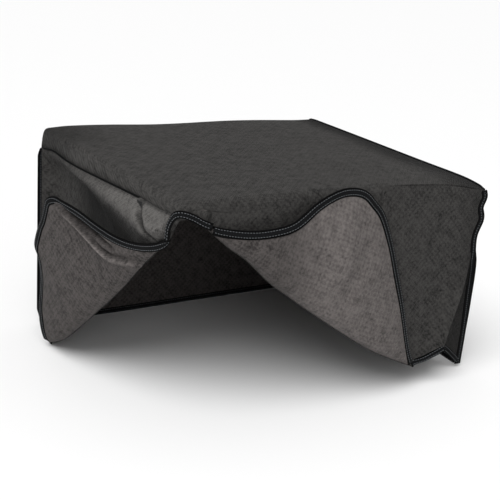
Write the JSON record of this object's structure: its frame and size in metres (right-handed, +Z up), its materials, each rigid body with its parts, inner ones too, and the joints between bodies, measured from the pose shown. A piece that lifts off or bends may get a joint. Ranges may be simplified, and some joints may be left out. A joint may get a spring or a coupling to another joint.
{
  "type": "printer dust cover",
  "caption": "Soft box-shaped woven dust cover for a desktop printer, open below, with taped seams and a slit front-left corner whose two flaps fold back.",
  "frame": {"origin": "middle of the top panel's underside, the face that rests on the printer", "axes": "+Z up, -Y the front, +X the user's right when facing the front"},
  "size_m": [0.5609, 0.4704, 0.3068],
  "materials": {
    "cover_cloth": "matt charcoal plain weave",
    "flap_lining": "inner face of the same cloth, paler and slightly warm",
    "binding_tape": "black ribbed binding tape"
  },
  "bodies": {
    "cover": {"top_panel": "cover_cloth", "front_panel": "cover_cloth", "back_panel": "cover_cloth", "right_panel": "cover_cloth", "left_panel": "cover_cloth", "front_hem_tape": "binding_tape", "back_hem_tape": "binding_tape", "right_hem_tape": "binding_tape", "left_hem_tape": "binding_tape", "top_left_seam_tape": "binding_tape", "top_right_seam_tape": "binding_tape", "back_left_seam_tape": "binding_tape", "back_right_seam_tape": "binding_tape", "front_right_seam_tape": "binding_tape", "slit_top_tape": "binding_tape", "left_seam_bar_tack": "binding_tape"},
    "front_flap": {"front_flap_cloth": "flap_lining", "front_flap_edge_tape": "binding_tape"},
    "left_flap": {"left_flap_cloth": "flap_lining", "left_flap_edge_tape": "binding_tape"}
  },
  "joints": [
    {"name": "front_flap_fold", "type": "hinge", "parent": "cover", "child": "front_flap", "pos_m": [-0.244, -0.22, -0.0134], "axis": [0.8363, 0, -0.5482], "range_deg": [0, 168]},
    {"name": "left_flap_fold", "type": "hinge", "parent": "cover", "child": "left_flap", "pos_m": [-0.25, -0.214, -0.0234], "axis": [0, -0.7879, 0.6158], "range_deg": [0, 154]}
  ]
}
